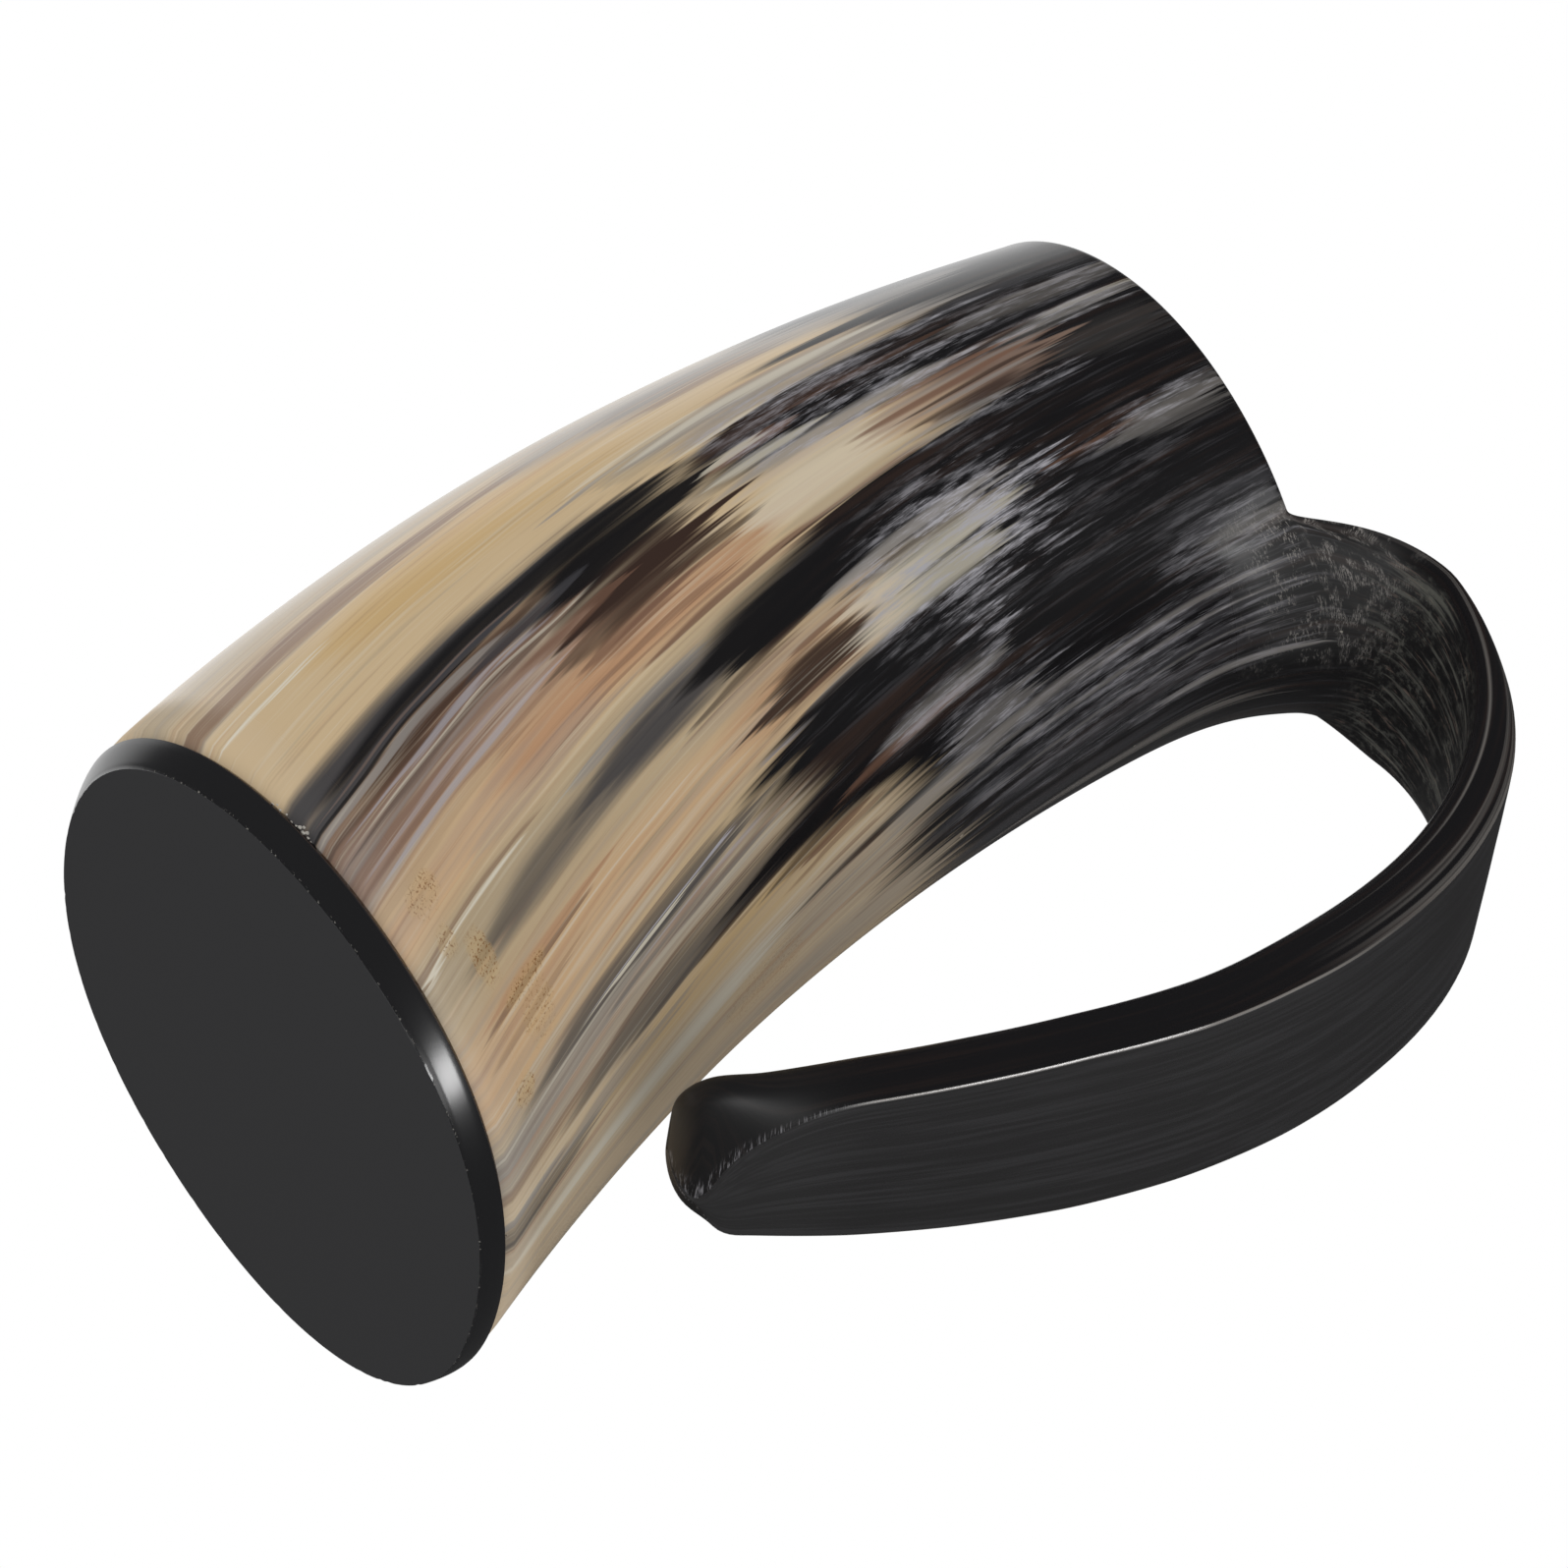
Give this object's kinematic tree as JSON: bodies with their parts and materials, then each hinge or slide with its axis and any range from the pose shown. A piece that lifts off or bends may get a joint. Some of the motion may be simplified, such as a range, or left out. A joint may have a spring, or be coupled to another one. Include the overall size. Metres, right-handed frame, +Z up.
{
  "type": "horn drinking cup",
  "caption": "Bowed horn drinking cup with a black base plate and a handle bent from the same horn; free-standing, holds a drink.",
  "frame": {"origin": "middle of the base plate's outline, on the table", "axes": "+Z up from the base to the mouth, +X towards the handle, -Y towards the side that the picture shows"},
  "size_m": [0.1326, 0.0897, 0.1641],
  "materials": {
    "horn_wall": "polished horn, cream to honey at the base with lengthwise brown, grey and black streaks, black with pale flecks towards the mouth",
    "horn_strip": "black horn, satin on the broad outer face, polished on the edges, pale crackle inside the bend",
    "black_plate": "black, matt ground underside and a polished convex edge",
    "clear_glue": "thin dried glue line, slightly yellow",
    "sealing_resin": "clear amber resin bead"
  },
  "bodies": {
    "root": {"horn_cup": "horn_wall", "horn_handle": "horn_strip", "base_plate": "black_plate", "glue_film": "clear_glue", "sealing_bead": "sealing_resin"}
  },
  "joints": []
}
